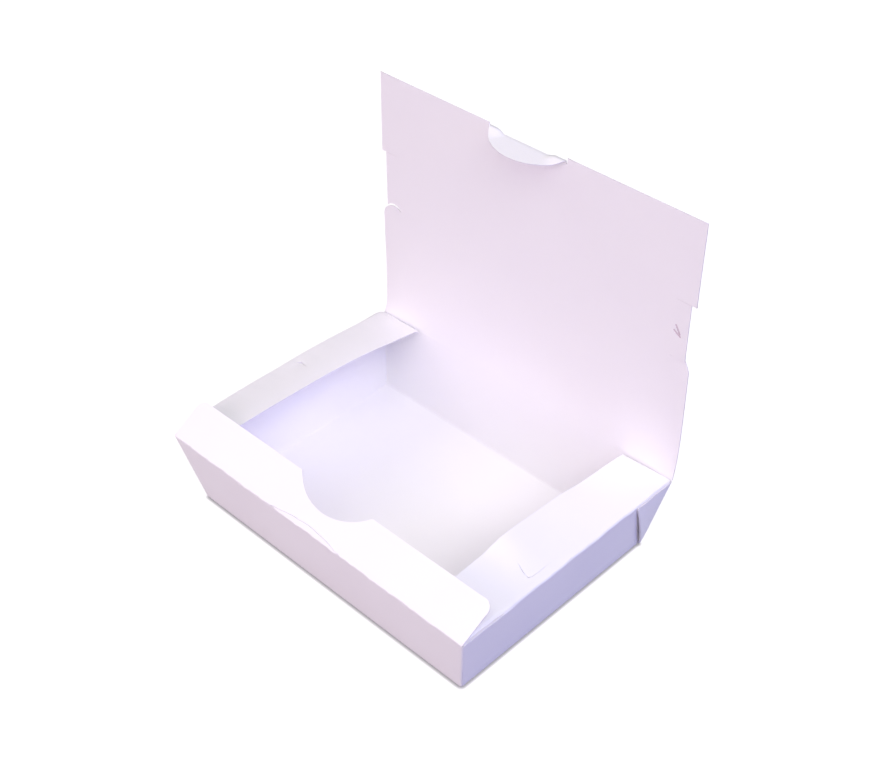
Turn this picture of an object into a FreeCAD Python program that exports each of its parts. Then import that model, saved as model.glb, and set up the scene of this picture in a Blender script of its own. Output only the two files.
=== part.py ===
"""Folded takeout food box of white board: a tray, its lid, its front flap and its lock tongue.

Units are millimetres. The origin is the middle of the underside, +Z is up, +X runs along
the front from left to right, and +Y points from the front wall to the rear wall.
"""
import FreeCAD, Part
import math
import os
import Sketcher

SIZES = {
    # Board and folds
    "board": 0.5,
    "fold_gap": 0.33,
    "fold_radius": 0.8,
    "slit_width": 0.5,
    # Tray
    "top_width": 216.0,
    "top_depth": 160.4,
    "box_height": 46.0,
    "side_inset": 9.4,
    "end_inset": 9.8,
    "web_foot": 1.5,
    # Side flaps: tilts are degrees above the level
    "side_flap_reach": 30.8,
    "side_flap_tip": 1.5,
    "side_flap_end_gap": 1.7,
    "side_flap_mitre": 16.0,
    "left_shoulder_tilt": 12.0,
    "left_crest_tilt": 12.5,
    "left_crest_place": 2.0,
    "right_shoulder_tilt": 5.0,
    "right_crest_tilt": 16.5,
    "right_crest_place": -16.0,
    # Push tabs cut in the side flaps
    "push_tab_near": 5.4,
    "push_tab_far": 16.2,
    "push_tab_place": -9.6,
    "push_tab_length": 38.0,
    "push_tab_flare": 3.5,
    # Front flap, its thumb notch and the lock slit at its fold
    "front_flap_reach": 24.4,
    "front_flap_lift": 30.0,
    "front_flap_round": 7.0,
    "notch_width": 52.0,
    "notch_depth": 12.2,
    "lock_shift": -2.5,
    "lock_play": 0.5,
    "lock_lip_height": 2.9,
    "lock_lip_tilt": 48.0,
    # Lid, its side ears and its tongue
    "lid_short": 2.4,
    "lid_lean": 0.6,
    "lid_stop": 8.0,
    "ear_length": 36.5,
    "ear_reach": 14.0,
    "ear_recess": 3.0,
    "ear_lead": 2.2,
    "tongue_width": 51.0,
    "tongue_reach": 15.1,
    "tongue_inset": 3.0,
    "tongue_fold": 87.0,
}

doc = FreeCAD.newDocument("takeout_food_box")
sheet = doc.addObject("Spreadsheet::Sheet", "size")
for row, (alias, value) in enumerate(SIZES.items(), start=1):
    sheet.set("A%d" % row, alias)
    sheet.set("B%d" % row, str(value))
    sheet.setAlias("B%d" % row, alias)
doc.recompute()

# Lengths and places worked out from the sizes

RIM_X = "size.top_width / 2"
RIM_Y = "size.top_depth / 2"
FLOOR_X = "(size.top_width / 2 - size.side_inset)"
FLOOR_Y = "(size.top_depth / 2 - size.end_inset)"
SIDE_LEAN = "atan(size.side_inset / size.box_height)"
END_LEAN = "atan(size.end_inset / size.box_height)"
SIDE_SLANT = "hypot(size.side_inset; size.box_height)"
END_SLANT = "hypot(size.end_inset; size.box_height)"
AXIS_Y = "(size.top_depth / 2 - size.board / 2)"
AXIS_Z = "(size.box_height - size.board / 2)"
CREASE_Z = "(size.box_height - size.board - size.fold_gap)"
NOSE_GAP = "(size.board / 2 + size.fold_gap)"
LID_LENGTH = f"({AXIS_Y} + {RIM_Y} - size.lid_short)"
TONGUE_AXIS = f"({LID_LENGTH} - size.tongue_inset)"
REAR_RELIEF_Y = f"({AXIS_Y} - (size.board + size.fold_gap) / tan(size.lid_stop))"
FRONT_RELIEF_Y = "(size.side_flap_end_gap - size.top_depth / 2 + size.fold_gap)"
SHOULDER_Y = f"({FRONT_RELIEF_Y} + size.side_flap_mitre)"
LOCK_WIDTH = "(size.tongue_width + 2 * size.lock_play)"


def number(expression):
    """The value that an expression has with the sizes as they are."""
    value = sheet.evalExpression(str(expression))
    return float(getattr(value, "Value", value))


def arc_radius(chord, height):
    """Radius of the arc that stands so high over a chord."""
    return f"((({chord}) ^ 2 / 4 + ({height}) ^ 2) / (2 * ({height})))"


# Bodies, sketches and features

def new_body(name):
    body = doc.addObject("PartDesign::Body", name)
    body.Label = name
    return body


def new_sketch(body, name, role, offset=("0", "0", "0"), turn="0"):
    """An empty sketch on an origin plane, moved by offset and turned about its own x axis."""
    sketch = body.newObject("Sketcher::SketchObject", name)
    plane = [item for item in body.Origin.OriginFeatures if item.Role == role][0]
    sketch.AttachmentSupport = [(plane, "")]
    sketch.MapMode = "FlatFace"
    turned = FreeCAD.Rotation(FreeCAD.Vector(1, 0, 0), number(turn) or 1.0)
    sketch.AttachmentOffset = FreeCAD.Placement(FreeCAD.Vector(0, 0, 0), turned)
    for axis, value in zip("xyz", offset):
        sketch.setExpression("AttachmentOffset.Base." + axis, value)
    sketch.setExpression("AttachmentOffset.Rotation.Angle", turn)
    return sketch


def corner(x, y):
    """A corner of an outline, with a straight side to the next one."""
    return {"x": x, "y": y}


def bend(x, y, radius, side):
    """A corner with an arc to the next one; side is 1 where the arc turns left, or -1."""
    return {"x": x, "y": y, "radius": radius, "side": side}


def draw_outline(sketch, corners):
    """A closed outline whose corners and radii follow the sizes."""
    points = [FreeCAD.Vector(number(c["x"]), number(c["y"]), 0) for c in corners]
    starts = []
    for index, here in enumerate(corners):
        start = points[index]
        end = points[(index + 1) % len(points)]
        if "radius" in here:
            radius = number(here["radius"])
            chord = end - start
            rise = math.sqrt(max(radius ** 2 - chord.Length ** 2 / 4, 0.0))
            left = FreeCAD.Vector(-chord.y, chord.x, 0).normalize()
            centre = (start + end) * 0.5 + left * rise * here["side"]
            first, last = (start, end) if here["side"] > 0 else (end, start)
            angles = [math.atan2(p.y - centre.y, p.x - centre.x) for p in (first, last)]
            circle = Part.Circle(centre, FreeCAD.Vector(0, 0, 1), radius)
            line = sketch.addGeometry(Part.ArcOfCircle(circle, *angles))
            starts.append((line, 1 if here["side"] > 0 else 2))
        else:
            line = sketch.addGeometry(Part.LineSegment(start, end))
            starts.append((line, 1))
    for index, here in enumerate(corners):
        line, first = starts[index]
        after, after_first = starts[(index + 1) % len(starts)]
        sketch.addConstraint(
            Sketcher.Constraint("Coincident", line, 3 - first, after, after_first))
        for kind, key, value in (("DistanceX", "x", points[index].x),
                                 ("DistanceY", "y", points[index].y)):
            rule = sketch.addConstraint(
                Sketcher.Constraint(kind, -1, 1, line, first, value))
            sketch.setExpression("Constraints[%d]" % rule, here[key])
        if "radius" in here:
            rule = sketch.addConstraint(
                Sketcher.Constraint("Radius", line, number(here["radius"])))
            sketch.setExpression("Constraints[%d]" % rule, here["radius"])


def draw_circle(sketch, x, y, radius):
    circle = Part.Circle(FreeCAD.Vector(number(x), number(y), 0), FreeCAD.Vector(0, 0, 1),
                         number(radius))
    line = sketch.addGeometry(circle)
    for kind, value in (("DistanceX", x), ("DistanceY", y)):
        rule = sketch.addConstraint(
            Sketcher.Constraint(kind, -1, 1, line, 3, number(value)))
        sketch.setExpression("Constraints[%d]" % rule, value)
    rule = sketch.addConstraint(Sketcher.Constraint("Radius", line, number(radius)))
    sketch.setExpression("Constraints[%d]" % rule, radius)


def rectangle(half_x, half_y):
    return [corner(f"-({half_x})", f"-({half_y})"), corner(half_x, f"-({half_y})"),
            corner(half_x, half_y), corner(f"-({half_x})", half_y)]


def feature(body, kind, name, sketch, length=None, midplane=False, reverse=False):
    """A pad or pocket of one sketch."""
    made = body.newObject("PartDesign::" + kind, name)
    made.Profile = sketch
    made.Midplane = midplane
    made.Reversed = reverse
    made.setExpression("Length", length)
    doc.recompute()
    return made


# Tray: floor, four leaning walls and webbed corners

def frustum(body, kind, name, low, high, low_half, high_half):
    """A block between two centred rectangles, at the heights low and high."""
    made = body.newObject("PartDesign::" + kind, name)
    plane = [item for item in body.Origin.OriginFeatures if item.Role == "XZ_Plane"][0]
    made.AttachmentSupport = [(plane, "")]
    made.MapMode = "FlatFace"
    for key, value in (("Ymin", low), ("Ymax", high)):
        made.setExpression(key, value)
    for axis, low_value, high_value in zip("XZ", low_half, high_half):
        made.setExpression(axis + "max", low_value)
        made.setExpression(axis + "min", f"-({low_value})")
        made.setExpression(axis + "2max", high_value)
        made.setExpression(axis + "2min", f"-({high_value})")
    doc.recompute()
    return made


def half_x(height):
    """Half the tray's outer width at a height."""
    return f"({FLOOR_X} + size.side_inset * {height} / size.box_height)"


def half_y(height):
    """Half the tray's outer depth at a height."""
    return f"({FLOOR_Y} + size.end_inset * {height} / size.box_height)"


def tray_shell(body):
    """The four walls and the floor, one board thick, with rounded outer folds."""
    block = frustum(body, "AdditiveWedge", "outer_form", "0", AXIS_Z,
                    (FLOOR_X, FLOOR_Y), (half_x(AXIS_Z), half_y(AXIS_Z)))
    folds = []
    for index, edge in enumerate(block.Shape.Edges, start=1):
        if min(vertex.Point.z for vertex in edge.Vertexes) < 1e-6:
            folds.append("Edge%d" % index)
    rounded = body.newObject("PartDesign::Fillet", "outer_folds")
    rounded.Base = (block, folds)
    rounded.setExpression("Radius", "size.fold_radius")
    doc.recompute()

    inner = [(f"({half_x(height)} - size.board / cos({SIDE_LEAN}))",
              f"({half_y(height)} - size.board / cos({END_LEAN}))")
             for height in ("size.board", AXIS_Z)]
    frustum(body, "SubtractiveWedge", "inner_form", "size.board", AXIS_Z, *inner)


def web_outline(end, start_inset):
    """The folded web's triangle in the plane of a side wall, at the rear (1) or front (-1)."""
    edge_angle = f"atan(size.end_inset / {SIDE_SLANT})"
    other_angle = f"atan(size.side_inset / {END_SLANT})"
    fold_angle = f"((90 deg - {edge_angle} - {other_angle}) / 2 - {edge_angle})"
    head = "(2 * size.board)"
    foot = f"({SIDE_SLANT} - size.web_foot)"
    head_y, foot_y = [f"({RIM_Y} - size.end_inset * {depth} / {SIDE_SLANT})"
                      for depth in (head, foot)]
    tip_y = f"({FLOOR_Y} - ({SIDE_SLANT} - {head}) * tan({fold_angle}))"
    corners = [corner(f"({head_y} - {start_inset}) * {end}", f"-{head}"),
               corner(f"{tip_y} * {end}", f"-{head}"),
               corner(f"({foot_y} - {start_inset}) * {end}", f"-{foot}")]
    return corners if end > 0 else corners[::-1]


def tray_webs(body):
    """Doubled corner webs: outside the side walls at the rear, inside them at the front."""
    for name, side in (("left", -1), ("right", 1)):
        place = ("0", "size.box_height", f"{RIM_X} * {side}")
        turn = f"{SIDE_LEAN} * {side}"
        rear = new_sketch(body, name + "_rear_web_outline", "YZ_Plane", place, turn)
        draw_outline(rear, web_outline(1, "0"))
        feature(body, "Pad", name + "_rear_web", rear, "2 * size.board", reverse=side < 0)
        front = new_sketch(body, name + "_front_web_outline", "YZ_Plane", place, turn)
        draw_outline(front, web_outline(-1, "2 * size.board"))
        feature(body, "Pad", name + "_front_web", front, "3 * size.board", reverse=side > 0)


def flap_stations(name):
    """Where a side flap is measured, front to rear: place along the wall, reach and tilt."""
    return [
        (FRONT_RELIEF_Y, "size.side_flap_tip", "0"),
        (SHOULDER_Y, "size.side_flap_reach", f"size.{name}_shoulder_tilt"),
        (f"size.{name}_crest_place", "size.side_flap_reach", f"size.{name}_crest_tilt"),
        (REAR_RELIEF_Y, "size.side_flap_reach", "0"),
    ]


def face(points):
    return Part.Face(Part.makePolygon(points + points[:1]))


def side_flap(name, side):
    """A side flap that twists: level at the rear, risen at a crest, mitred at the front."""
    rim = []
    tip = []
    for place, reach, tilt in flap_stations(name):
        rise = number(f"{reach} * sin({tilt})")
        inner = number(f"{RIM_X} - {reach} * cos({tilt})")
        rim.append(FreeCAD.Vector(side * number(RIM_X), number(place), 0))
        tip.append(FreeCAD.Vector(side * inner, number(place), rise))
    down = FreeCAD.Vector(0, 0, -number("size.board"))
    sides = [face([rim[0], tip[0], tip[0] + down, rim[0] + down]),
             face([rim[-1], tip[-1], tip[-1] + down, rim[-1] + down])]
    for here, after in zip(range(len(rim) - 1), range(1, len(rim))):
        for edge in (rim, tip):
            sides.append(face([edge[here], edge[after], edge[after] + down, edge[here] + down]))
        for half in ([rim[here], tip[after], tip[here]], [rim[here], rim[after], tip[after]]):
            sides.append(face(half))
            sides.append(face([point + down for point in half]))
    sheet_of_flap = doc.addObject("Part::Feature", name + "_flap_sheet")
    sheet_of_flap.Shape = Part.Solid(Part.Shell(sides))
    sheet_of_flap.setExpression("Placement.Base.z", "size.box_height")
    return sheet_of_flap


def push_tab_slot(name, side):
    """The slot round a dovetail tab, cut on three sides and left attached inboard."""
    near = f"({RIM_X} - size.push_tab_near)"
    far = f"({RIM_X} - size.push_tab_far)"
    wide = "(size.push_tab_length / 2)"
    slim = "(size.push_tab_length / 2 - size.push_tab_flare)"
    outer = [(far, f"-{slim}"), (near, f"-{wide}"), (near, wide), (far, slim)]
    inner_near = f"({near} - size.slit_width)"
    inner = [(far, f"({slim} - size.slit_width)"),
             (inner_near, f"({wide} - size.slit_width)"),
             (inner_near, f"-({wide} - size.slit_width)"),
             (far, f"-({slim} - size.slit_width)")]
    corners = [corner(f"{side} * {x}", f"size.push_tab_place + {y}") for x, y in outer + inner]
    outline = doc.addObject("Sketcher::SketchObject", name + "_push_tab_outline")
    outline.setExpression("Placement.Base.z", "size.box_height - size.board * 2")
    draw_outline(outline, corners if side > 0 else corners[::-1])
    slot = doc.addObject("Part::Extrusion", name + "_push_tab_slot")
    slot.Base = outline
    slot.DirMode = "Normal"
    slot.Solid = True
    slot.setExpression("LengthFwd", "size.side_flap_reach + size.board * 4")
    return slot


def tray_side_flap(name, side):
    flap = doc.addObject("Part::Cut", name + "_side_flap")
    flap.Base = side_flap(name, side)
    flap.Tool = push_tab_slot(name, side)
    doc.recompute()
    return flap


def tray_reliefs(body):
    """The top of the end walls stops short of the folds that the lid and front flap turn on."""
    above = "(size.box_height + size.side_flap_reach)"
    rear = [(REAR_RELIEF_Y, "size.box_height"), (AXIS_Y, CREASE_Z),
            (f"({RIM_Y} + size.board * 4)", CREASE_Z), (f"({RIM_Y} + size.board * 4)", above),
            (REAR_RELIEF_Y, above)]
    front = [(FRONT_RELIEF_Y, "size.box_height"), (FRONT_RELIEF_Y, above),
             (f"-({RIM_Y} + size.board * 4)", above), (f"-({RIM_Y} + size.board * 4)", CREASE_Z),
             (f"-{AXIS_Y}", CREASE_Z)]
    for name, corners in (("rear_relief", rear), ("front_relief", front)):
        sketch = new_sketch(body, name + "_outline", "YZ_Plane")
        draw_outline(sketch, [corner(y, z) for y, z in corners])
        feature(body, "Pocket", name, sketch, "size.top_width + size.board * 16",
                midplane=True)


def tray_lock_lip(body):
    """The lens of board that stays on the front wall, bent partly in, when the lock slit opens."""
    half = f"({LOCK_WIDTH} / 2)"
    root = "-(size.board * 2 + size.fold_gap)"
    place = ("size.lock_shift", "size.box_height", RIM_Y)
    stub = new_sketch(body, "lock_lip_root_outline", "XZ_Plane", place, END_LEAN)
    draw_outline(stub, [corner(f"-{half}", root), corner(half, root),
                        corner(half, "-size.board / 4"), corner(f"-{half}", "-size.board / 4")])
    feature(body, "Pad", "lock_lip_root", stub, "size.board", reverse=True)

    place = ("size.lock_shift", AXIS_Z, AXIS_Y)
    turn = "(size.lock_lip_tilt - 90)"
    lens = new_sketch(body, "lock_lip_outline", "XZ_Plane", place, turn)
    radius = arc_radius(LOCK_WIDTH, "size.lock_lip_height")
    draw_outline(lens, [corner(f"-{half}", "-size.board / 4"), corner(half, "-size.board / 4"),
                        bend(half, "0", radius, 1), corner(f"-{half}", "0")])
    feature(body, "Pad", "lock_lip", lens, "size.board", midplane=True)


def make_tray():
    walls = new_body("tray_walls")
    tray_shell(walls)
    tray_webs(walls)
    tray_reliefs(walls)
    tray_lock_lip(walls)
    whole = doc.addObject("Part::MultiFuse", "tray")
    whole.Shapes = [walls, tray_side_flap("left", -1), tray_side_flap("right", 1)]
    doc.recompute()
    return whole


# Flaps that turn: each is a sheet whose root is rounded about its own fold

def add_nose(body, name, y, z, length, shift="0"):
    """The rounded root of a turning flap, a rod of the board's thickness on its fold."""
    sketch = new_sketch(body, name + "_outline", "YZ_Plane", ("0", "0", shift))
    draw_circle(sketch, y, z, "size.board / 2")
    feature(body, "Pad", name, sketch, length, midplane=True)


def lid_outline():
    """The lid seen from inside, from its fold up, with its ears and the tongue's recess."""
    middle = f"({AXIS_Y} - size.push_tab_place + size.ear_lead)"
    low = f"({middle} - size.ear_length / 2)"
    high = f"({middle} + size.ear_length / 2)"
    ear_edge = f"({RIM_X} - size.ear_recess)"
    ear_root = f"({RIM_X} - size.ear_reach)"
    side = [(RIM_X, "0"), (RIM_X, low), (ear_root, low), (ear_root, f"{low} + size.slit_width"),
            (ear_edge, f"{low} + size.slit_width"), (ear_edge, f"{high} - size.slit_width"),
            (ear_root, f"{high} - size.slit_width"), (ear_root, high), (RIM_X, high),
            (RIM_X, LID_LENGTH)]
    recess = f"({TONGUE_AXIS} - {NOSE_GAP})"
    half = f"({LOCK_WIDTH} / 2)"
    right = [corner(x, y) for x, y in side]
    left = [corner(f"-{x}", y) for x, y in reversed(side)]
    middle_part = [corner(f"size.lock_shift + {half}", LID_LENGTH),
                   corner(f"size.lock_shift + {half}", recess),
                   corner(f"size.lock_shift - {half}", recess),
                   corner(f"size.lock_shift - {half}", LID_LENGTH)]
    return right + middle_part + left


def make_lid():
    body = new_body("lid")
    place = ("0", AXIS_Z, f"-{AXIS_Y}")
    sketch = new_sketch(body, "lid_outline", "XZ_Plane", place, "-size.lid_lean")
    draw_outline(sketch, lid_outline())
    feature(body, "Pad", "lid_sheet", sketch, "size.board", midplane=True)
    add_nose(body, "lid_root", AXIS_Y, AXIS_Z, "size.top_width")
    return body


def make_tongue():
    """A half-round tongue, folded at a right angle to the lid's inner face."""
    body = new_body("tongue")
    axis_y = f"({AXIS_Y} + {TONGUE_AXIS} * sin(size.lid_lean))"
    axis_z = f"({AXIS_Z} + {TONGUE_AXIS} * cos(size.lid_lean))"
    place = ("size.lock_shift", axis_z, f"-{axis_y}")
    turn = "(180 - size.tongue_fold - size.lid_lean)"
    sketch = new_sketch(body, "tongue_outline", "XZ_Plane", place, turn)
    half = "(size.tongue_width / 2)"
    radius = arc_radius("size.tongue_width", "size.tongue_reach")
    draw_outline(sketch, [corner(f"-{half}", "0"), bend(half, "0", radius, 1)])
    feature(body, "Pad", "tongue_sheet", sketch, "size.board", midplane=True)
    add_nose(body, "tongue_root", axis_y, axis_z, "size.tongue_width", "size.lock_shift")
    return body


def make_front_flap():
    body = new_body("front_flap")
    place = ("0", AXIS_Z, AXIS_Y)
    turn = "(size.front_flap_lift - 90)"
    sketch = new_sketch(body, "front_flap_outline", "XZ_Plane", place, turn)
    reach = "size.front_flap_reach"
    curve = "size.front_flap_round"
    half_notch = "(size.notch_width / 2)"
    notch_radius = arc_radius("size.notch_width", "size.notch_depth")
    draw_outline(sketch, [
        corner(f"-({RIM_X})", "0"),
        corner(RIM_X, "0"),
        bend(RIM_X, f"{reach} - {curve}", curve, 1),
        corner(f"{RIM_X} - {curve}", reach),
        bend(half_notch, reach, notch_radius, -1),
        corner(f"-{half_notch}", reach),
        bend(f"-({RIM_X} - {curve})", reach, curve, 1),
        corner(f"-({RIM_X})", f"{reach} - {curve}"),
    ])
    feature(body, "Pad", "front_flap_sheet", sketch, "size.board", midplane=True)
    add_nose(body, "front_flap_root", f"-{AXIS_Y}", AXIS_Z, "size.top_width")

    slit_place = ("size.lock_shift", AXIS_Z, AXIS_Y)
    slit = new_sketch(body, "lock_slit_outline", "XZ_Plane", slit_place, turn)
    width = f"({LOCK_WIDTH} + 2 * size.slit_width)"
    height = "(size.lock_lip_height + size.slit_width)"
    half = f"({width} / 2)"
    draw_outline(slit, [corner(f"-{half}", "-size.board"), corner(half, "-size.board"),
                        bend(half, "size.board * 1.3", arc_radius(width, height), 1),
                        corner(f"-{half}", "size.board * 1.3")])
    feature(body, "Pocket", "lock_slit", slit, "size.board * 4", midplane=True)
    return body


NODES = {"tray": make_tray, "lid": make_lid, "front_flap": make_front_flap,
         "tongue": make_tongue}
made = {name: make() for name, make in NODES.items()}
doc.recompute()

for item in doc.Objects:
    if "Invalid" in item.State or "Error" in item.State:
        raise RuntimeError("%s did not build: %s" % (item.Name, item.State))
for name, body in made.items():
    shape = body.Shape
    if shape.isNull() or not shape.isValid() or len(shape.Solids) != 1:
        raise RuntimeError("%s is not one valid solid" % name)

os.makedirs("parts", exist_ok=True)
for name, body in made.items():
    body.Shape.exportStep(os.path.join("parts", name + ".step"))
    box = body.Shape.BoundBox
    print("%-11s volume %8.1f mm3, x %.1f %.1f, y %.1f %.1f, z %.1f %.1f" % (
        name, body.Shape.Volume, box.XMin, box.XMax, box.YMin, box.YMax, box.ZMin, box.ZMax))
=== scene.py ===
"""Folded takeout food box of white coated board, dressed for a studio picture.

Lengths in this file are millimetres until they are written to a mesh. The frame is the CAD
model's: origin under the middle of the box, +X along the front, +Y to the rear, +Z up.
"""
import functools
import math

import bpy
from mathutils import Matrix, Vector
from mathutils.geometry import delaunay_2d_cdt


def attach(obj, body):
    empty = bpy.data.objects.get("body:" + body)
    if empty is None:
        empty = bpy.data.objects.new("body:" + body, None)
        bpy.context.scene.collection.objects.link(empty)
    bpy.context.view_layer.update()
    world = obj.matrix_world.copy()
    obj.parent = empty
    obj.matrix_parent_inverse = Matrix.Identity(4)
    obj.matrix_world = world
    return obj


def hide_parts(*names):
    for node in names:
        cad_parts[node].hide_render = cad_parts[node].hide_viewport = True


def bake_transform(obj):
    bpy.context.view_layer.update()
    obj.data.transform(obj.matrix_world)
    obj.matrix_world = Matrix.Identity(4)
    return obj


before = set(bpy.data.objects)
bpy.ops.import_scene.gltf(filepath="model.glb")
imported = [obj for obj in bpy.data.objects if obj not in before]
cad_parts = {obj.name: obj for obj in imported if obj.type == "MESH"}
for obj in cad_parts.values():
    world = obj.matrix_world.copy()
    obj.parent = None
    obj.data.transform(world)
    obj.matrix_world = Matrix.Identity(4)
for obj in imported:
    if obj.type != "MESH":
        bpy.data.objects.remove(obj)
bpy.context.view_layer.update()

MM = 0.001
BOARD = 0.5
HALF = BOARD / 2
RIM_X, RIM_Y, HEIGHT = 108.0, 80.2, 46.0
SIDE_INSET, END_INSET = 9.4, 9.8
FLOOR_X, FLOOR_Y = RIM_X - SIDE_INSET, RIM_Y - END_INSET
SIDE_LEAN, END_LEAN = math.atan(SIDE_INSET / HEIGHT), math.atan(END_INSET / HEIGHT)
# The walls' mid planes where they would meet the rim's level
SIDE_ROOT, END_ROOT = RIM_X - HALF / math.cos(SIDE_LEAN), RIM_Y - HALF / math.cos(END_LEAN)
# How far a fold's section follows its wall down, and how far below the rim the tray's own mesh
# stops, where the flaps' meshes take over
WALL_TAIL = 8.0
SEAM = 1.5
TOP = HEIGHT - SEAM
AXIS_Y, AXIS_Z = 79.95, 45.75
LOCK_SHIFT = -2.5


def smooth(t):
    """0 to 1 as t goes from 0 to 1, level at both ends."""
    t = min(max(t, 0.0), 1.0)
    return t * t * (3.0 - 2.0 * t)


def line(value, points):
    """The height at a place on straight runs through (place, height) points."""
    if value <= points[0][0]:
        return points[0][1]
    for (x0, y0), (x1, y1) in zip(points, points[1:]):
        if value <= x1:
            return y0 + (y1 - y0) * (value - x0) / (x1 - x0)
    return points[-1][1]


class Fold:
    """A sheet's section: a straight run, one round fold and a second straight run."""

    def __init__(self, foot, fold, tip, radius):
        foot, fold, tip = Vector(foot), Vector(fold), Vector(tip)
        self.before, self.after = (fold - foot).normalized(), (tip - fold).normalized()
        cross = self.before.x * self.after.y - self.before.y * self.after.x
        turn = math.atan2(cross, self.before.dot(self.after))
        cutback = radius * math.tan(abs(turn) / 2)
        self.first, self.last = fold - self.before * cutback, fold + self.after * cutback
        self.arc = radius * abs(turn)
        self.bend = turn / self.arc

    def at(self, s, offset=0.0):
        """The point at length s from mid fold, moved by offset to the left of the way along."""
        s += self.arc / 2
        angle = self.bend * min(max(s, 0.0), self.arc)
        way = Vector((self.before.x * math.cos(angle) - self.before.y * math.sin(angle),
                      self.before.x * math.sin(angle) + self.before.y * math.cos(angle)))
        left = Vector((-way.y, way.x))
        if s < 0.0:
            point = self.first + way * s
        elif s > self.arc:
            point = self.last + way * (s - self.arc)
        else:
            point = self.first + (Vector((-self.before.y, self.before.x)) - left) / self.bend
        return point + left * offset


def inward_fold(root, wall_lean, fold, tilt, radius):
    """A wall's top and the flap folded from it, tilted above the level; runs toward -x."""
    foot = (root - math.tan(wall_lean) * WALL_TAIL, HEIGHT - WALL_TAIL)
    tip = (fold[0] - 40.0 * math.cos(tilt), fold[1] + 40.0 * math.sin(tilt))
    return Fold(foot, fold, tip, radius)


# Meshes

def make_object(name, vertices, faces, cut_faces, sharp_edges):
    """A piece of millimetre points, smooth but at its cut edges, whose cut faces show the core."""
    mesh = bpy.data.meshes.new(name)
    mesh.from_pydata([Vector(v) * MM for v in vertices], [], faces)
    mesh.update()
    for polygon in mesh.polygons:
        polygon.use_smooth = True
        if polygon.index in cut_faces:
            polygon.material_index = 1
    for edge in mesh.edges:
        if tuple(sorted(edge.vertices)) in sharp_edges:
            edge.use_edge_sharp = True
    mesh.materials.append(BOARD_MATERIAL)
    mesh.materials.append(CUT_MATERIAL)
    piece = bpy.data.objects.new(name, mesh)
    bpy.context.scene.collection.objects.link(piece)
    return piece


def sides_of(loop):
    return zip(loop, loop[1:] + loop[:1])


def inside(point, loop):
    x, y = point
    hit = False
    for (x0, y0), (x1, y1) in sides_of(loop):
        if (y0 > y) != (y1 > y) and x < (x1 - x0) * (y - y0) / (y1 - y0) + x0:
            hit = not hit
    return hit


def on_board(point, outline, holes):
    return inside(point, outline) and not any(inside(point, hole) for hole in holes)


def segment_distance(p, a, b):
    run = b - a
    part = min(max((p - a).dot(run) / max(run.length_squared, 1e-12), 0.0), 1.0)
    return (a + run * part - p).length


def near_loop(point, loop, distance):
    return any(segment_distance(Vector(point), Vector(a), Vector(b)) < distance
               for a, b in sides_of(loop))


def densify(loop, step):
    """The same outline with no side longer than step."""
    points = []
    for (x0, y0), (x1, y1) in sides_of(loop):
        count = max(1, math.ceil(math.hypot(x1 - x0, y1 - y0) / step))
        for index in range(count):
            part = index / count
            points.append((x0 + (x1 - x0) * part, y0 + (y1 - y0) * part))
    return points


def spread(low, high, step):
    """Even values from low to high, no more than step apart."""
    count = math.ceil((high - low) / step)
    return [low + (high - low) * i / count for i in range(count + 1)]


def cut_board(name, outline, place, rows=(), columns=(), step=4.0, holes=()):
    """A board cut to a flat outline, with each point put at place(s, t, depth).

    Rows are the t values of lines that the mesh follows, such as folds; columns are s values.
    """
    outline = densify(outline, step)
    holes = [densify(hole, step) for hole in holes]
    loops = [outline] + holes
    points = []
    edges = []
    for loop in loops:
        first = len(points)
        points += loop
        edges += [(first + i, first + (i + 1) % len(loop)) for i in range(len(loop))]
    s_ends, t_ends = [(min(values), max(values)) for values in zip(*outline)]
    s_values = sorted(set(list(columns) + spread(*s_ends, step)))
    t_values = [t for t in spread(*t_ends, step)
                if all(abs(t - row) > step * 0.3 for row in rows)]
    for t in sorted(t_values + list(rows)):
        on_row = any(abs(t - row) < 1e-9 for row in rows)
        margin = 0.06 if on_row else step * 0.25
        previous = None
        for s in s_values:
            fits = on_board((s, t), outline, holes)
            if fits and not any(near_loop((s, t), loop, margin) for loop in loops):
                points.append((s, t))
                if on_row and previous is not None:
                    edges.append((previous, len(points) - 1))
                previous = len(points) - 1
            else:
                previous = None
    flat, _, triangles = delaunay_2d_cdt([Vector(p) for p in points], edges, [], 0, 1e-5)[:3]
    kept = []
    for triangle in triangles:
        centre = sum((Vector(flat[i]) for i in triangle), Vector((0, 0))) / len(triangle)
        if on_board(tuple(centre), outline, holes):
            kept.append(triangle)
    used = sorted({i for triangle in kept for i in triangle})
    new = {old: i for i, old in enumerate(used)}
    count = len(used)
    vertices = [place(flat[i].x, flat[i].y, depth) for depth in (HALF, -HALF) for i in used]
    faces = []
    ways = []
    for triangle in kept:
        a, b, c = [new[i] for i in triangle]
        faces += [(a, b, c), (c + count, b + count, a + count)]
        ways += [(a, b), (b, c), (c, a)]
    cut_faces, sharp = set(), set()
    shared = set(ways)
    for a, b in ways:
        if (b, a) not in shared:
            cut_faces.add(len(faces))
            faces.append((b, a, a + count, b + count))
            sharp |= {tuple(sorted((a, b))), tuple(sorted((a + count, b + count)))}
    return make_object(name, vertices, faces, cut_faces, sharp)


def arc_points(x0, y0, x1, y1, height, count):
    """Points along an arc that stands height to the left of the way from one end to the other."""
    chord = math.hypot(x1 - x0, y1 - y0)
    radius = (chord ** 2 / 4 + height ** 2) / (2 * abs(height))
    shift = math.copysign(1.0, height) * (abs(height) - radius) / chord
    cx = (x0 + x1) / 2 - (y1 - y0) * shift
    cy = (y0 + y1) / 2 + (x1 - x0) * shift
    a0 = math.atan2(y0 - cy, x0 - cx)
    a1 = math.atan2(y1 - cy, x1 - cx)
    turn = (a1 - a0 + math.pi) % (2 * math.pi) - math.pi
    return [(cx + radius * math.cos(a0 + turn * i / count),
             cy + radius * math.sin(a0 + turn * i / count)) for i in range(count + 1)]


# Materials

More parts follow.
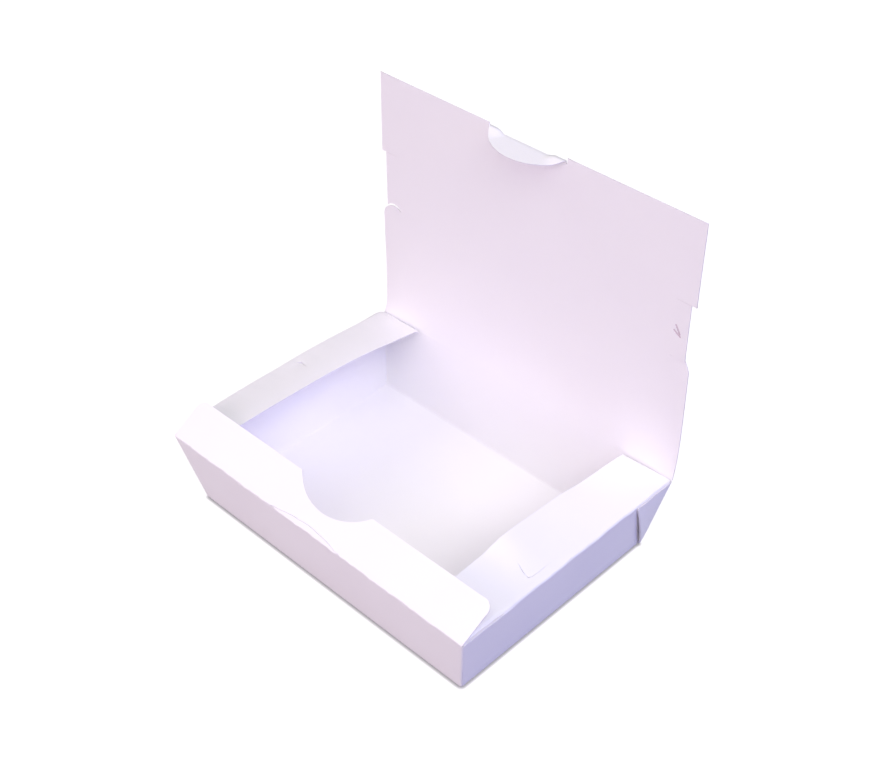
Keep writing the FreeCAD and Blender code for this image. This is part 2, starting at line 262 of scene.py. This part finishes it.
def noise_fac(tree, place, scale, detail):
    node = tree.nodes.new("ShaderNodeTexNoise")
    node.inputs["Scale"].default_value = scale
    node.inputs["Detail"].default_value = detail
    tree.links.new(place, node.inputs["Vector"])
    return node.outputs["Fac"]


def bump(tree, height, strength, distance):
    node = tree.nodes.new("ShaderNodeBump")
    node.inputs["Strength"].default_value = strength
    node.inputs["Distance"].default_value = distance
    tree.links.new(height, node.inputs["Height"])
    return node


def board_material(name, low, high, roughness, fibre):
    """Coated board: faint cloudy tone, paper tooth and a soft, uneven gloss."""
    material = bpy.data.materials.new(name)
    material.use_nodes = True
    tree = material.node_tree
    nodes, links = tree.nodes, tree.links
    shader = nodes["Principled BSDF"]
    shader.inputs["Specular IOR Level"].default_value = 0.35
    place = nodes.new("ShaderNodeTexCoord").outputs["Object"]

    cloud = noise_fac(tree, place, 26.0, 3.0)
    mix = nodes.new("ShaderNodeMath")
    mix.operation = "MULTIPLY_ADD"
    mix.inputs[1].default_value = 0.25
    links.new(noise_fac(tree, place, 900.0, 2.0), mix.inputs[0])
    links.new(cloud, mix.inputs[2])
    tone = nodes.new("ShaderNodeValToRGB")
    for element, position, colour in zip(tone.color_ramp.elements, (0.45, 0.85), (low, high)):
        element.position = position
        element.color = (*colour, 1.0)
    links.new(mix.outputs[0], tone.inputs["Fac"])
    links.new(tone.outputs["Color"], shader.inputs["Base Color"])

    rough = nodes.new("ShaderNodeMapRange")
    rough.inputs["From Min"].default_value = 0.3
    rough.inputs["From Max"].default_value = 0.7
    rough.inputs["To Min"].default_value = roughness[0]
    rough.inputs["To Max"].default_value = roughness[1]
    links.new(cloud, rough.inputs["Value"])
    links.new(rough.outputs["Result"], shader.inputs["Roughness"])

    tooth = bump(tree, noise_fac(tree, place, 1500.0, 3.0), fibre, 0.00005)
    swell = bump(tree, noise_fac(tree, place, 60.0, 2.0), 0.35, 0.0004)
    links.new(tooth.outputs["Normal"], swell.inputs["Normal"])
    links.new(swell.outputs["Normal"], shader.inputs["Normal"])
    return material


BOARD_MATERIAL = board_material("coated_board", (0.955, 0.938, 0.962), (0.968, 0.952, 0.972),
                                (0.42, 0.55), 0.5)
CUT_MATERIAL = board_material("cut_board", (0.76, 0.73, 0.77), (0.86, 0.83, 0.87),
                              (0.8, 0.95), 1.0)
# Darker pink for the faces in the lid's two nicks: painted shade of the pressed nicks
NICK_SHADE_MATERIAL = board_material("nick_painted_shade", (0.64, 0.53, 0.60), (0.74, 0.64, 0.70),
                                (0.8, 0.95), 1.0)


# Tray: floor and walls as one open shell

FLOOR_FOLD = 1.3
RING_X, RING_Y, RING_CORNER = 30, 24, 4
FLOOR_SHARES = (0.03, 0.2, 0.4, 0.6, 0.8, 0.93)
WALL_LENGTHS = (-0.55, -0.36, -0.18, 0.0, 0.18, 0.36, 0.55, 1.2, 3.0, 6.0, 10.0, 15.0, 20.0,
                25.0, 30.0, 35.0, 40.0)


def waver(place, height):
    """The small unevenness of a crease pressed by hand, along its length."""
    wave = math.sin(place * 0.19 + 1.0) + 0.7 * math.sin(place * 0.47 + 2.1)
    return height * (wave + 0.5 * math.sin(place * 0.93 + 0.4))


def tray_warp(p):
    """Slow bows of the folded tray, the same for every part of it."""
    x, y, z = p
    # The front and rear walls belly, and the creases at the rim waver
    along_x = max(0.0, 1.0 - (x / 100.0) ** 2)
    middle = smooth(1.0 - abs(z - 24.0) / 22.0)
    dy = math.copysign(0.35, y) * middle * along_x * smooth((abs(y) / 70.0 - 0.8) * 5)
    rim = smooth((z - 36.0) / 9.0)
    sides = rim * smooth((74.0 - abs(y)) / 12.0) * smooth((abs(x) - 84.0) / 14.0)
    dx = math.copysign(1.0, x) * waver(y + 20.0, 0.11) * sides
    dz = waver(y, 0.10) * sides
    if y < 0:
        front = rim * smooth((104.0 - abs(x)) / 12.0) * smooth((-y - 66.0) / 8.0)
        dy += waver(x, 0.13) * front
        dz += waver(x + 40.0, 0.10) * front
    # The left wall's foot is pushed in, and its rim leans out and stands higher
    if x < 0:
        along_y = max(0.0, 1.0 - (y / 74.0) ** 2)
        dx += 2.4 * smooth(1.0 - z / 34.0) * along_y * smooth((-x / 98.0 - 0.5) * 2)
        out = smooth((y + 79.0) / 14.0) * (1.0 - 0.5 * smooth((y - 20.0) / 50.0))
        out *= smooth((79.5 - y) / 4.0) * smooth((z - 12.0) / 34.0) * smooth((-x - 50.0) / 40.0)
        dx -= 2.4 * out
        dz += 2.3 * out
    return Vector((x + dx, y + dy, z + dz))


def rounded_loop(half_x, half_y, radius, z):
    """A ring of points round a rectangle with rounded corners."""
    radius = min(radius, half_x * 0.4, half_y * 0.4)

    def corner_point(corner, turn):
        sx, sy, start = corner
        angle = math.radians(start + turn)
        return Vector((sx * (half_x - radius) + radius * math.cos(angle),
                       sy * (half_y - radius) + radius * math.sin(angle), z))

    corners = [(1, 1, 0.0), (-1, 1, 90.0), (-1, -1, 180.0), (1, -1, 270.0)]
    points = []
    for index, corner in enumerate(corners):
        points += [corner_point(corner, 90.0 * i / RING_CORNER) for i in range(RING_CORNER + 1)]
        begin, end = points[-1], corner_point(corners[(index + 1) % 4], 0.0)
        count = RING_X if index % 2 == 0 else RING_Y
        points += [begin.lerp(end, i / count) for i in range(1, count)]
    return points


def tray_rings(offset):
    """Rings from the floor's middle to the wall's top, on the face offset from the mid plane."""
    z = HALF + offset
    rings = [rounded_loop((FLOOR_X - HALF) * share, (FLOOR_Y - HALF) * share, 0.6 * share, z)
             for share in FLOOR_SHARES]
    folds = [Fold((-60.0, HALF), (floor, HALF), (floor + inset * TOP / HEIGHT, TOP), FLOOR_FOLD)
             for floor, inset in ((FLOOR_X, SIDE_INSET), (FLOOR_Y, END_INSET))]
    for s in WALL_LENGTHS:
        a, b = [fold.at(s, offset) for fold in folds]
        rings.append(rounded_loop(a.x - HALF, b.x - HALF, 0.85 - offset, (a.y + b.y) / 2))
    top_x = RIM_X - HALF - SEAM * SIDE_INSET / HEIGHT - offset / math.cos(SIDE_LEAN)
    top_y = RIM_Y - HALF - SEAM * END_INSET / HEIGHT - offset / math.cos(END_LEAN)
    return rings + [rounded_loop(top_x, top_y, 0.85 - offset, TOP)]


def tray_shell():
    vertices = []
    faces = []
    tops = []
    for offset in (HALF, -HALF):
        rings = tray_rings(offset)
        first, count = len(vertices), len(rings[0])
        vertices += [tray_warp(p) for ring in rings for p in ring]
        middle = len(vertices)
        vertices.append(tray_warp(Vector((0, 0, HALF + offset))))
        shown = []
        for a in range(first, first + (len(rings) - 1) * count):
            b = a + 1 if (a - first) % count < count - 1 else a + 1 - count
            shown.append((a, b, b + count, a + count))
        shown += [(first + i, middle, first + (i + 1) % count) for i in range(count)]
        faces += [face[::-1] for face in shown] if offset > 0 else shown
        tops.append(first + (len(rings) - 1) * count)
    inner_top, outer_top = tops
    cut_faces, sharp = set(), set()
    for i in range(count):
        j = (i + 1) % count
        cut_faces.add(len(faces))
        faces.append((inner_top + i, inner_top + j, outer_top + j, outer_top + i))
        sharp |= {tuple(sorted((top + i, top + j))) for top in tops}
    return make_object("tray_shell", vertices, faces, cut_faces, sharp)


shell = tray_shell()
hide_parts("tray")
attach(shell, "tray")


# Corner webs: doubled triangles, outside the side walls at the rear and inside at the front

# A web's doubled edge slopes away from its corner; the mouth is the angle between a leaf's folds
WEB_SLOPE = math.radians(21.66)
WEB_MOUTH = math.atan2(26.1, 40.2)
WEB_TIP, WEB_CORNER = (49.4, 0.0), (38.9, 26.7)
SIDE_SLANT = math.hypot(SIDE_INSET, HEIGHT)
WEB_ROWS = [-1.0, -0.7, -0.5, -0.35, -0.2, -0.1, 0.0, 0.1, 0.2, 0.35, 0.5, 0.7, 1.0]


def web_place(side, end):
    """Puts both leaves of a web on its side wall; s runs along the doubled edge."""
    outside = end > 0
    up = Vector((side * math.sin(SIDE_LEAN), 0, math.cos(SIDE_LEAN)))
    outward = Vector((side * math.cos(SIDE_LEAN), 0, -math.sin(SIDE_LEAN)))
    away = outward if outside else -outward
    along = Vector((0, -end * math.sin(WEB_SLOPE), 0)) + up * math.cos(WEB_SLOPE)
    across = Vector((0, end * math.cos(WEB_SLOPE), 0)) + up * math.sin(WEB_SLOPE)
    foot = Vector((side * FLOOR_X, end * (FLOOR_Y - 1.6), 0)) + away * (0.0 if outside else BOARD)
    first_lift, second_lift = (1.1, 1.3) if outside else (0.3, 0.5)

    def place(s, t, depth):
        # The leaves lie tight in the corner and at the rim, and stand off the wall between them
        to_corner = (s + 0.6) * math.sin(WEB_MOUTH) - (abs(t) - 1.5) * math.cos(WEB_MOUTH)
        rise = s * math.cos(WEB_SLOPE) + abs(t) * math.sin(WEB_SLOPE)
        ease = smooth(to_corner / 5.0) * (0.3 + 0.7 * smooth((SIDE_SLANT - rise) / 12.0))
        lift = math.exp(-abs(t) / 7.0) * math.sin(math.pi * min(max(s / 50.0, 0.0), 1.0) ** 0.75)
        first = -0.26 + 0.56 * ease + first_lift * lift
        second = 0.27 + 0.66 * ease + second_lift * lift
        radius = (second - first) / 2
        half = math.pi * radius / 2
        if abs(t) < half:
            angle = t / radius
            a = radius - (radius + depth) * math.cos(angle)
            b = (first + second) / 2 + (radius + depth) * math.sin(angle)
        else:
            a = radius + abs(t) - half
            b = second + depth if t > 0 else first - depth
        return tray_warp(foot + along * s + across * a + away * b)
    return place


def corner_web(side, end):
    name = ("rear" if end > 0 else "front") + ("_left" if side < 0 else "_right")
    outline = [(0.5, 0.0), (1.4, 2.2), WEB_CORNER, WEB_TIP, (WEB_CORNER[0], -WEB_CORNER[1]),
               (1.4, -2.2)]
    piece = cut_board("web_" + name, outline, web_place(side, end), rows=WEB_ROWS, step=2.6)
    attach(piece, "tray")


for side in (-1, 1):
    for end in (-1, 1):
        corner_web(side, end)


# Side flaps: folded over the side walls, sprung up and twisted

# Degrees above the level at places along the fold
LEFT_TILT = [(-62.0, 14.0), (-30.0, 13.5), (5.0, 12.5), (38.0, 9.5), (60.0, 6.0), (70.0, 4.0),
             (77.0, 2.0)]
RIGHT_TILT = [(-79.0, 1.0), (-62.0, 3.0), (-50.0, 5.2), (-37.0, 8.3), (-29.5, 9.2), (-25.0, 16.6),
              (-18.0, 18.0), (2.0, 14.8), (24.5, 11.2), (41.5, 4.4), (62.0, 2.2), (79.0, -0.6)]
SIDE_FLAP_REACH = 30.8
SIDE_FLAP_ROWS = [-1.2, -0.9, -0.6, -0.45, -0.3, -0.15, 0.0, 0.15, 0.3, 0.45, 0.6, 0.9, 1.2, 1.5,
                  1.8]
# The push tab's ends along the fold, its near and far lines, and how far its ends slope
TAB_LOW, TAB_HIGH = -28.6, 9.4
TAB_NEAR, TAB_FAR = 5.2, 16.0
TAB_FLARE = 3.5


@functools.cache
def side_fold(side, y):
    tilts = LEFT_TILT if side < 0 else RIGHT_TILT
    tilt = math.radians(sum(line(y + step, tilts) for step in (-4, -2, 0, 2, 4)) / 5)
    fold = (SIDE_ROOT - math.tan(SIDE_LEAN) * HALF, AXIS_Z - 0.5 * smooth((y - 74.0) / 4.0))
    radius = 0.9 + 1.7 * smooth((-36.0 - y) / 22.0) * smooth((y + 79.5) / 5.0)
    return inward_fold(SIDE_ROOT, SIDE_LEAN, fold, tilt, radius)


def side_flap_place(side):
    def place(s, t, depth):
        at = side_fold(side, round(s, 3)).at(t, -depth)
        return tray_warp(Vector((side * at.x, s, at.y - tab_drop(side, s, t))))
    return place


def tab_cut(side):
    """The push tab's cut in flat flap lengths: open at one corner, a hairline round the rest."""
    front, back = (0.34, 0.02) if side > 0 else (0.02, 0.4)
    hair = 0.02
    outer = [(TAB_LOW + TAB_FLARE + 0.4, TAB_FAR), (TAB_LOW + 1.6, TAB_NEAR + 3.0),
             (TAB_LOW + 1.9, TAB_NEAR + 1.0), (TAB_LOW + 3.6, TAB_NEAR),
             (TAB_LOW + 15.0, TAB_NEAR), (TAB_HIGH - 3.6, TAB_NEAR),
             (TAB_HIGH - 1.9, TAB_NEAR + 1.0), (TAB_HIGH - 1.6, TAB_NEAR + 3.0),
             (TAB_HIGH - TAB_FLARE - 0.4, TAB_FAR)]
    gaps = [(hair, 0.0), (front, 0.0), (front, front), (0.1, front * 1.5), (0.0, hair),
            (0.0, hair), (-back, back), (-back, 0.0), (-hair, 0.0)]
    inner = [(x + dx, y + dy) for (x, y), (dx, dy) in zip(outer, gaps)]
    return outer + inner[::-1]


def tab_drop(side, s, t):
    """How far the tab has sunk towards its open corner."""
    if not (TAB_LOW + 1.6 < s < TAB_HIGH - 1.6 and TAB_NEAR + 0.03 < t < TAB_FAR):
        return 0.0
    reach = abs(s - (TAB_LOW if side > 0 else TAB_HIGH))
    return 0.7 * smooth(1.0 - reach / 15.0) * smooth((TAB_FAR - t) / 9.0)


def side_flap(side):
    name = "left" if side < 0 else "right"
    foot = HALF - SEAM - 0.4
    outline = [(-79.0, foot), (79.2, foot), (79.2, 0.4), (77.8, SIDE_FLAP_REACH),
               (-62.0, SIDE_FLAP_REACH), (-78.2, 1.5), (-79.0, 0.0)]
    piece = cut_board("side_flap_" + name, outline, side_flap_place(side), rows=SIDE_FLAP_ROWS,
                      step=2.6, holes=[tab_cut(side)])
    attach(piece, "tray")


for side in (-1, 1):
    side_flap(side)


# Front flap with its thumb notch, and the lock lip that its slit leaves on the front wall

FRONT_CREASE = (END_ROOT - math.tan(END_LEAN) * HALF, AXIS_Z)
FRONT_REACH, FRONT_ROUND = 24.4, 7.0
NOTCH_HALF, NOTCH_DEPTH = 26.0, 12.2
LOCK_HALF, LIP_HEIGHT = 26.0, 2.9
CREASE_ROWS = [-0.36, -0.24, -0.12, 0.0, 0.12, 0.24, 0.36]
# Where the meshes of the front flap, lip and lid start, on the walls
FLAP_FOOT = HALF - SEAM - 0.1

front_fold = inward_fold(END_ROOT, END_LEAN, FRONT_CREASE, math.radians(30.0), 0.55)
lip_fold = inward_fold(END_ROOT, END_LEAN, FRONT_CREASE, math.radians(45.0), 0.6)


def front_place(s, t, depth):
    """Follows the tray's warp at the crease and runs free of it beyond."""
    at = front_fold.at(t, -depth)
    p = Vector((s, -at.x, at.y))
    return tray_warp(p).lerp(p, smooth((t - 1.0) / 6.0))


def front_flap():
    slit_low, slit_high = LOCK_SHIFT - LOCK_HALF - 0.05, LOCK_SHIFT + LOCK_HALF + 0.05
    slit = arc_points(slit_high, 0.1, slit_low, 0.1, -(LIP_HEIGHT - 0.02), 24)
    round_height = -FRONT_ROUND * 0.41
    outline = [(-107.1, FLAP_FOOT), (slit_low, FLAP_FOOT)] + slit[::-1]
    outline += [(slit_high, FLAP_FOOT), (107.1, FLAP_FOOT), (107.6, 0.0)]
    outline += arc_points(RIM_X, FRONT_REACH - FRONT_ROUND, RIM_X - FRONT_ROUND, FRONT_REACH,
                          round_height, 10)
    outline += arc_points(NOTCH_HALF, FRONT_REACH, -NOTCH_HALF, FRONT_REACH, NOTCH_DEPTH, 28)
    outline += arc_points(FRONT_ROUND - RIM_X, FRONT_REACH, -RIM_X, FRONT_REACH - FRONT_ROUND,
                          round_height, 10)
    outline += [(-107.6, 0.0)]
    piece = cut_board("front_flap_board", outline, front_place, rows=CREASE_ROWS, step=3.5)
    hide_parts("front_flap")
    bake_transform(piece)


def lip_place(s, t, depth):
    at = lip_fold.at(t, -depth)
    return tray_warp(Vector((s, -at.x, at.y)))


def lock_lip():
    low, high = LOCK_SHIFT - LOCK_HALF, LOCK_SHIFT + LOCK_HALF
    outline = [(low, FLAP_FOOT), (high, FLAP_FOOT)]
    outline += arc_points(high, 0.0, low, 0.0, -LIP_HEIGHT, 24)
    piece = cut_board("lock_lip_board", outline, lip_place, rows=CREASE_ROWS, step=2.5)
    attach(piece, "tray")


front_flap()
lock_lip()


# Lid, folded up from the rear wall, with its side ears and its tongue

LID_LENGTH = 157.75
LID_LEAN = math.radians(0.6)
TONGUE_AXIS = 154.75
TONGUE_FOLD = math.radians(93.0)
EAR_LOW, EAR_HIGH = AXIS_Y - 4.5, AXIS_Y + 30.05
NICKS = [(Vector((97.4, 94.6)), Vector((100.0, 90.2))),
         (Vector((96.6, 91.2)), Vector((100.4, 88.8)))]
NICK_DEPTH, NICK_WIDTH = 0.3, 0.65

lid_way = Vector((math.sin(LID_LEAN), math.cos(LID_LEAN)))
lid_fold = Fold((END_ROOT - math.tan(END_LEAN) * WALL_TAIL, HEIGHT - WALL_TAIL),
                (AXIS_Y, AXIS_Z), (AXIS_Y + 200 * lid_way.x, AXIS_Z + 200 * lid_way.y), 2.0)


def nick(x, u):
    """How deep two small nicks are pressed into the right ear; the board in them is painted darker
    as their shade.
    """
    distance = min(segment_distance(Vector((x, u)), start, end) for start, end in NICKS)
    return NICK_DEPTH * math.exp(-(distance / NICK_WIDTH) ** 2)


def lid_bow(x, u):
    """How far the lid stands back of its plane: the wall's lean runs on and straightens out."""
    rise = max(u, 0.0)
    curl = 2.1 * (rise / 26.0) * math.exp(1.0 - rise / 26.0)
    curl += 0.7 * (rise / 6.0) * math.exp(1.0 - rise / 6.0) * smooth((-x - 45.0) / 30.0)
    curl += nick(x, u)
    belly = 0.5 * math.sin(math.pi * min(rise / 157.0, 1.0)) * (1 - (x / RIM_X) ** 2)
    below = EAR_LOW + 0.05
    if u < below:
        curl += 0.6 * smooth((x - 95.0) / 10.0) * smooth((u - below + 8.0) / 8.0)
    return curl + belly


def lid_place(s, t, depth):
    at = lid_fold.at(t, depth - lid_bow(s, t))
    p = Vector((s, at.x, at.y))
    return tray_warp(p) if t < 0 else p


def lid_outline():
    """Right side up, front edge with the tongue's recess, left side down."""
    edge, root, slit = RIM_X - 3.0, RIM_X - 12.0, 0.12
    foot = [(107.4, FLAP_FOOT), (RIM_X, 0.0)]
    right = [(RIM_X, EAR_LOW - 5.5), (RIM_X - 0.4, EAR_LOW - 4.6), (edge + 0.1, EAR_LOW),
             (root, EAR_LOW), (root, EAR_LOW + slit), (edge, EAR_LOW + slit)]
    # The left ear's lower cut is an arch
    lower = [(0.0, -6.4), (-0.4, -4.4), (-1.2, -2.6), (-3.0, -0.8), (-5.5, 0.6), (-8.0, 1.1),
             (-11.0, 0.6), (-13.6, -1.0)]
    upper = [(-13.8, -0.4), (-11.4, 1.9), (-8.3, 2.6), (-5.5, 2.0), (-3.4, 0.3), (-3.0, -0.1)]
    left = [(RIM_X + x, EAR_LOW + u) for x, u in lower + upper]
    head = [(edge, EAR_HIGH - slit), (root, EAR_HIGH - slit), (root, EAR_HIGH), (RIM_X, EAR_HIGH),
            (RIM_X, LID_LENGTH)]
    low, high, recess = LOCK_SHIFT - LOCK_HALF, LOCK_SHIFT + LOCK_HALF, TONGUE_AXIS - 0.3
    return (foot + right + head
            + [(high, LID_LENGTH), (high, recess), (low, recess), (low, LID_LENGTH)]
            + [(-x, u) for x, u in reversed(foot + left + head)])


def lid_board():
    rows = [-0.4, -0.2, 0.0, 0.2, 0.4] + [87.6 + 0.4 * i for i in range(21)]
    columns = [95.4 + 0.35 * i for i in range(18)]
    piece = cut_board("lid_board", lid_outline(), lid_place, rows=rows, columns=columns, step=4.0)
    piece.data.materials.append(NICK_SHADE_MATERIAL)
    # Faces deep in the nicks take the darker material, painted shade in the nicks
    for polygon in piece.data.polygons:
        if nick(polygon.center.x / MM, polygon.center.z / MM - AXIS_Z) > NICK_DEPTH / 2:
            polygon.material_index = 2
    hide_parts("lid")
    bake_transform(piece)


tongue_root = Vector((AXIS_Y, AXIS_Z)) + lid_way * TONGUE_AXIS
tongue_angle = math.pi / 2 - LID_LEAN + TONGUE_FOLD
tongue_fold = Fold(tongue_root - lid_way * 5.0, tongue_root,
                   (tongue_root.x + 30 * math.cos(tongue_angle),
                    tongue_root.y + 30 * math.sin(tongue_angle)), 0.45)


def tongue_place(s, t, depth):
    at = tongue_fold.at(t, depth)
    # The root's torn ends stand up
    ends = smooth((-s - 15.5) / 4.0) + 0.8 * smooth((s - 13.5) / 5.0)
    at += lid_way * 2.1 * ends * smooth((t + 0.3) / 0.6) * (1.0 - smooth(t / 7.0))
    return Vector((LOCK_SHIFT + s, at.x, at.y))


def tongue_board():
    outline = [(-25.6, -0.3), (25.6, -0.3)] + arc_points(25.5, 0.3, -25.5, 0.3, -15.0, 36)
    piece = cut_board("tongue_board", outline, tongue_place, rows=[-0.2, -0.1, 0.0, 0.1, 0.2],
                      step=2.5)
    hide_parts("tongue")
    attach(piece, "tongue")


lid_board()
tongue_board()


# Floor, light and camera

def math_node(tree, operation, first, second):
    """A node of two values, each a number or another node's output."""
    node = tree.nodes.new("ShaderNodeMath")
    node.operation = operation
    for socket, value in zip(node.inputs, (first, second)):
        if isinstance(value, float):
            socket.default_value = value
        else:
            tree.links.new(value, socket)
    return node.outputs[0]


def floor_material(name, colour, glow):
    """Pale floor that looks white: only the camera and reflections see its own glow.

    The glow is dimmed in a narrow band where the box stands, a painted contact shadow.
    """
    material = bpy.data.materials.new(name)
    material.use_nodes = True
    tree = material.node_tree
    nodes, links = tree.nodes, tree.links
    shader = nodes["Principled BSDF"]
    shader.inputs["Base Color"].default_value = (*colour, 1.0)
    shader.inputs["Roughness"].default_value = 0.9
    shader.inputs["Specular IOR Level"].default_value = 0.0
    path = nodes.new("ShaderNodeLightPath")
    seen = math_node(tree, "MAXIMUM", path.outputs["Is Camera Ray"],
                     path.outputs["Is Glossy Ray"])
    # Ambient occlusion darkens the glow right beside the box: painted contact shadow
    near = nodes.new("ShaderNodeAmbientOcclusion")
    near.samples = 16
    near.inputs["Distance"].default_value = 0.0021
    painted_contact_shadow = nodes.new("ShaderNodeMapRange")
    painted_contact_shadow.inputs["From Min"].default_value = 0.5
    painted_contact_shadow.inputs["To Min"].default_value = 0.3
    links.new(near.outputs["AO"], painted_contact_shadow.inputs["Value"])
    dimmed = math_node(tree, "MULTIPLY", seen, painted_contact_shadow.outputs["Result"])
    light = nodes.new("ShaderNodeEmission")
    light.inputs["Color"].default_value = (1.0, 1.0, 1.0, 1.0)
    links.new(math_node(tree, "MULTIPLY", dimmed, glow), light.inputs["Strength"])
    both = nodes.new("ShaderNodeAddShader")
    links.new(shader.outputs[0], both.inputs[0])
    links.new(light.outputs[0], both.inputs[1])
    links.new(both.outputs[0], nodes["Material Output"].inputs["Surface"])
    return material


reach = 6.0
mesh = bpy.data.meshes.new("studio_floor")
mesh.from_pydata([(-reach, -reach, 0), (reach, -reach, 0), (reach, reach, 0), (-reach, reach, 0)],
                 [], [(0, 1, 2, 3)])
mesh.materials.append(floor_material("studio_floor", (0.24, 0.22, 0.24), 0.91))
floor = bpy.data.objects.new("studio_floor", mesh)
floor.location.z = -0.0002
bpy.context.scene.collection.objects.link(floor)

world = bpy.data.worlds.new("studio")
bpy.context.scene.world = world
world.use_nodes = True
nodes, links = world.node_tree.nodes, world.node_tree.links
background = nodes["Background"]
background.inputs["Color"].default_value = (0.96, 0.93, 1.0, 1.0)
path = nodes.new("ShaderNodeLightPath")
level = nodes.new("ShaderNodeMix")
level.data_type = "FLOAT"
level.inputs["A"].default_value = 0.27
level.inputs["B"].default_value = 1.1
links.new(path.outputs["Is Camera Ray"], level.inputs["Factor"])
links.new(level.outputs["Result"], background.inputs["Strength"])


AIM = Vector((0.0, 0.0, 0.05))


def lamp(name, place, size, power, colour):
    light = bpy.data.lights.new(name, "AREA")
    light.shape = "DISK"
    light.size = size
    light.energy = power
    light.color = colour
    item = bpy.data.objects.new(name, light)
    item.location = place
    item.rotation_euler = (AIM - Vector(place)).to_track_quat("-Z", "Y").to_euler()
    bpy.context.scene.collection.objects.link(item)


lamp("overhead", (0.85, -0.85, 1.95), 2.4, 20.0, (1.0, 1.0, 0.99))
lamp("front_fill", (-0.2, -2.0, 0.6), 1.7, 22.0, (1.0, 0.80, 0.94))
lamp("left_high", (-1.7, -0.3, 1.5), 1.4, 6.0, (1.0, 1.0, 0.98))
lamp("right_high", (1.6, 0.1, 2.0), 1.6, 19.8, (1.0, 1.0, 0.98))
lamp("right_fill", (2.0, 0.1, 0.7), 1.4, 11.0, (0.0, 0.02, 1.0))

# The photograph's camera: focal length in pixels over the picture's width
FOCAL, PICTURE_WIDTH = 1489.4, 876.0
azimuth, elevation = math.radians(44.2), math.radians(38.96)
back = Vector((math.sin(azimuth) * math.cos(elevation), -math.cos(azimuth) * math.cos(elevation),
               math.sin(elevation)))
lens = bpy.data.cameras.new("camera")
lens.sensor_width = 36.0
lens.lens = FOCAL / PICTURE_WIDTH * lens.sensor_width
camera = bpy.data.objects.new("camera", lens)
camera.location = (0.4217, -0.4190, 0.5750)
camera.rotation_euler = (-back).to_track_quat("-Z", "Y").to_euler()
bpy.context.scene.collection.objects.link(camera)
bpy.context.scene.camera = camera
bpy.context.scene.view_settings.view_transform = "Standard"
